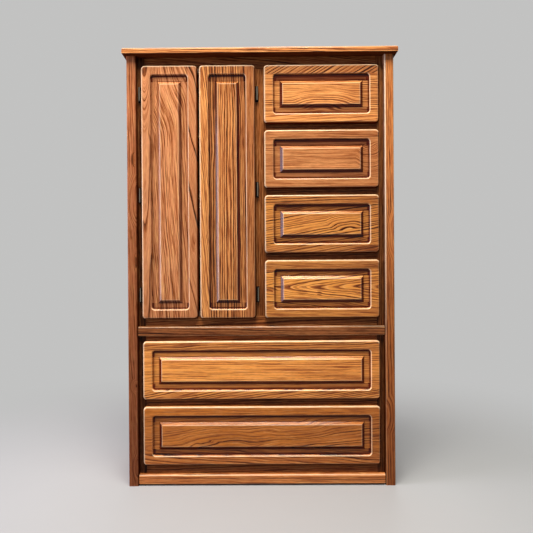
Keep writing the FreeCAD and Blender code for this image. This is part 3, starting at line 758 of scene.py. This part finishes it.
for node in ("bottom_deck", "middle_deck", "wardrobe_shelves", "upper_web_backs", "lower_web_back",
             "top_cleats"):
    dress(node, along_x)
for node in ("shelf_cleats", "upper_web_runners", "lower_web_runners", "drawer_guides"):
    dress(node, along_y)
dress("partition", along_z)
dress("back_panel", back_ply)
for number in range(1, 7):
    box_wood = plain_wood(f"drawer_{number}_box_wood", "YXZ", seed=90 + 5.0 * number,
                          box=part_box(f"drawer_{number}_box"))
    dress(f"drawer_{number}_box", box_wood)
    dress(f"drawer_{number}_bottom", ply)
    dress(f"drawer_{number}_batten", along_y)

# Hardware


def metal(name, colour, worn, roughness, wear_share, crown=None):
    """Plated or blackened metal, worn brighter in patches, and at the crown of a barrel worn bright with a
    painted highlight.
    """
    finish = Finish(name)
    x, y, z = finish.place()
    where = finish.vector(x / 0.012, y / 0.012, z / 0.03)
    patches = finish.spread(finish.noise(where, 4.0, 0.6), 0.52, 0.72)
    scratches = finish.noise(finish.vector(x / 0.0006, y / 0.0006, z / 0.012), 1.0)
    rubs_and_highlights = patches * wear_share
    if crown:
        # Painted highlight along the barrel's crown, which also stands for wear
        rubs_and_highlights = finish.spread(y, crown, crown + 0.0004, 0.8, 0.0) + rubs_and_highlights
    colour = finish.blend(rubs_and_highlights, colour, worn)
    finish.surface(base_color=colour, metallic=1.0, roughness=scratches * 0.14 + roughness)
    return finish.material


antique = metal("hinge_antique", (0.018, 0.013, 0.010, 1), (0.36, 0.30, 0.22, 1), 0.28, 0.10,
                crown=low_corner("hinge_frame_leaves").y)
for node in ("hinge_frame_leaves", "left_door_hinge_leaves", "right_door_hinge_leaves"):
    dress(node, antique)
steel = metal("strike_steel", (0.55, 0.55, 0.54, 1), (0.38, 0.37, 0.36, 1), 0.28, 0.4)
dress("left_door_strikes", steel)
dress("right_door_strikes", steel)

catch = Finish("catch_plastic")
cx, cy, cz = catch.place()
pebble = catch.noise(catch.vector(cx / 0.0008, cy / 0.0008, cz / 0.0008), 2.0)
pebbled = catch.node("ShaderNodeBump", inputs={"Strength": 0.3, "Distance": 0.0002, "Height": pebble},
                     output="Normal")
catch.surface(base_color=catch.blend(pebble * 0.3, (0.11, 0.06, 0.035, 1), (0.19, 0.11, 0.07, 1)),
              roughness=pebble * 0.2 + 0.42, normal=pebbled)
dress("door_catches", catch.material)

# Floor, lamps and camera

FLOOR_REACH = 30.0
BACKDROP = (0.54, 0.54, 0.535, 1)

floor_mesh = bpy.data.meshes.new("floor")
corners = [(x * FLOOR_REACH, y * FLOOR_REACH, 0) for x, y in ((-1, -1), (1, -1), (1, 1), (-1, 1))]
floor_mesh.from_pydata(corners, [], [(0, 1, 2, 3)])
floor = bpy.data.objects.new("floor", floor_mesh)
bpy.context.scene.collection.objects.link(floor)
ground = Finish("pale_floor")
x, y, z = ground.place()
grit = ground.noise(ground.vector(x / 0.35, y / 0.35, z), 3.0)
seen = ground.seen()
pale = ground.blend(grit * 0.2, (0.40, 0.40, 0.395, 1), (0.34, 0.34, 0.335, 1))
ground.surface(base_color=ground.blend(seen, (0.12, 0.12, 0.12, 1), pale), roughness=grit * 0.1 + 0.6)
far = ground.spread((x * x + y * y) ** 0.5, 0.6, 2.4) * seen
near = Value(ground, ground.shader.outputs[0])
glow = ground.node("ShaderNodeEmission", inputs={"Color": BACKDROP, "Strength": 1.0})
ground.close("Material Output", ground.node("ShaderNodeMixShader", inputs={0: far, 1: near, 2: glow}))
floor.data.materials.append(ground.material)

world = bpy.data.worlds.new("studio")
bpy.context.scene.world = world
world.use_nodes = True
studio = Shading(world.node_tree)
studio.tree.nodes.remove(studio.tree.nodes["Background"])
soft = studio.node("ShaderNodeBackground", inputs={"Color": (0.92, 0.94, 1.0, 1), "Strength": 0.09})
wall = studio.node("ShaderNodeBackground", inputs={"Color": BACKDROP, "Strength": 1.0})
studio.close("World Output", studio.node("ShaderNodeMixShader", inputs={0: studio.seen(), 1: soft, 2: wall}))


def lamp(name, place, target, width, height, power, colour):
    light = bpy.data.lights.new(name, "AREA")
    light.shape = "RECTANGLE"
    light.size = width
    light.size_y = height
    light.energy = power
    light.color = colour
    made = bpy.data.objects.new(name, light)
    made.location = place
    made.rotation_euler = (Vector(target) - Vector(place)).to_track_quat("-Z", "Y").to_euler()
    bpy.context.scene.collection.objects.link(made)


lamp("ceiling_lamp", (-0.2, -2.15, 4.5), (0.0, -0.2, 0.9), 2.4, 1.8, 225, (1.0, 0.97, 0.92))
lamp("skylight", (-0.2, -0.8, 4.3), (0.0, -0.25, 1.0), 2.0, 0.8, 75, (1.0, 0.96, 0.86))
lamp("left_window", (-3.6, -0.95, 1.4), (0.0, -0.2, 1.2), 1.9, 2.0, 130, (0.84, 0.80, 1.0))
lamp("rear_fill", (0.6, 4.2, 2.6), (0.0, 0.2, 1.0), 3.0, 2.4, 60, (0.95, 0.96, 1.0))

view = bpy.data.cameras.new("photo_view")
view.sensor_width = 36.0
view.lens = 36.0
view.shift_x = 0.0166
camera = bpy.data.objects.new("photo_view", view)
camera.location = (0.0, -2.4447, 0.9288)
camera.rotation_euler = [math.radians(turn) for turn in (89.772, 0.366, 0.348)]
bpy.context.scene.collection.objects.link(camera)
bpy.context.scene.camera = camera
bpy.context.scene.view_settings.view_transform = "Standard"
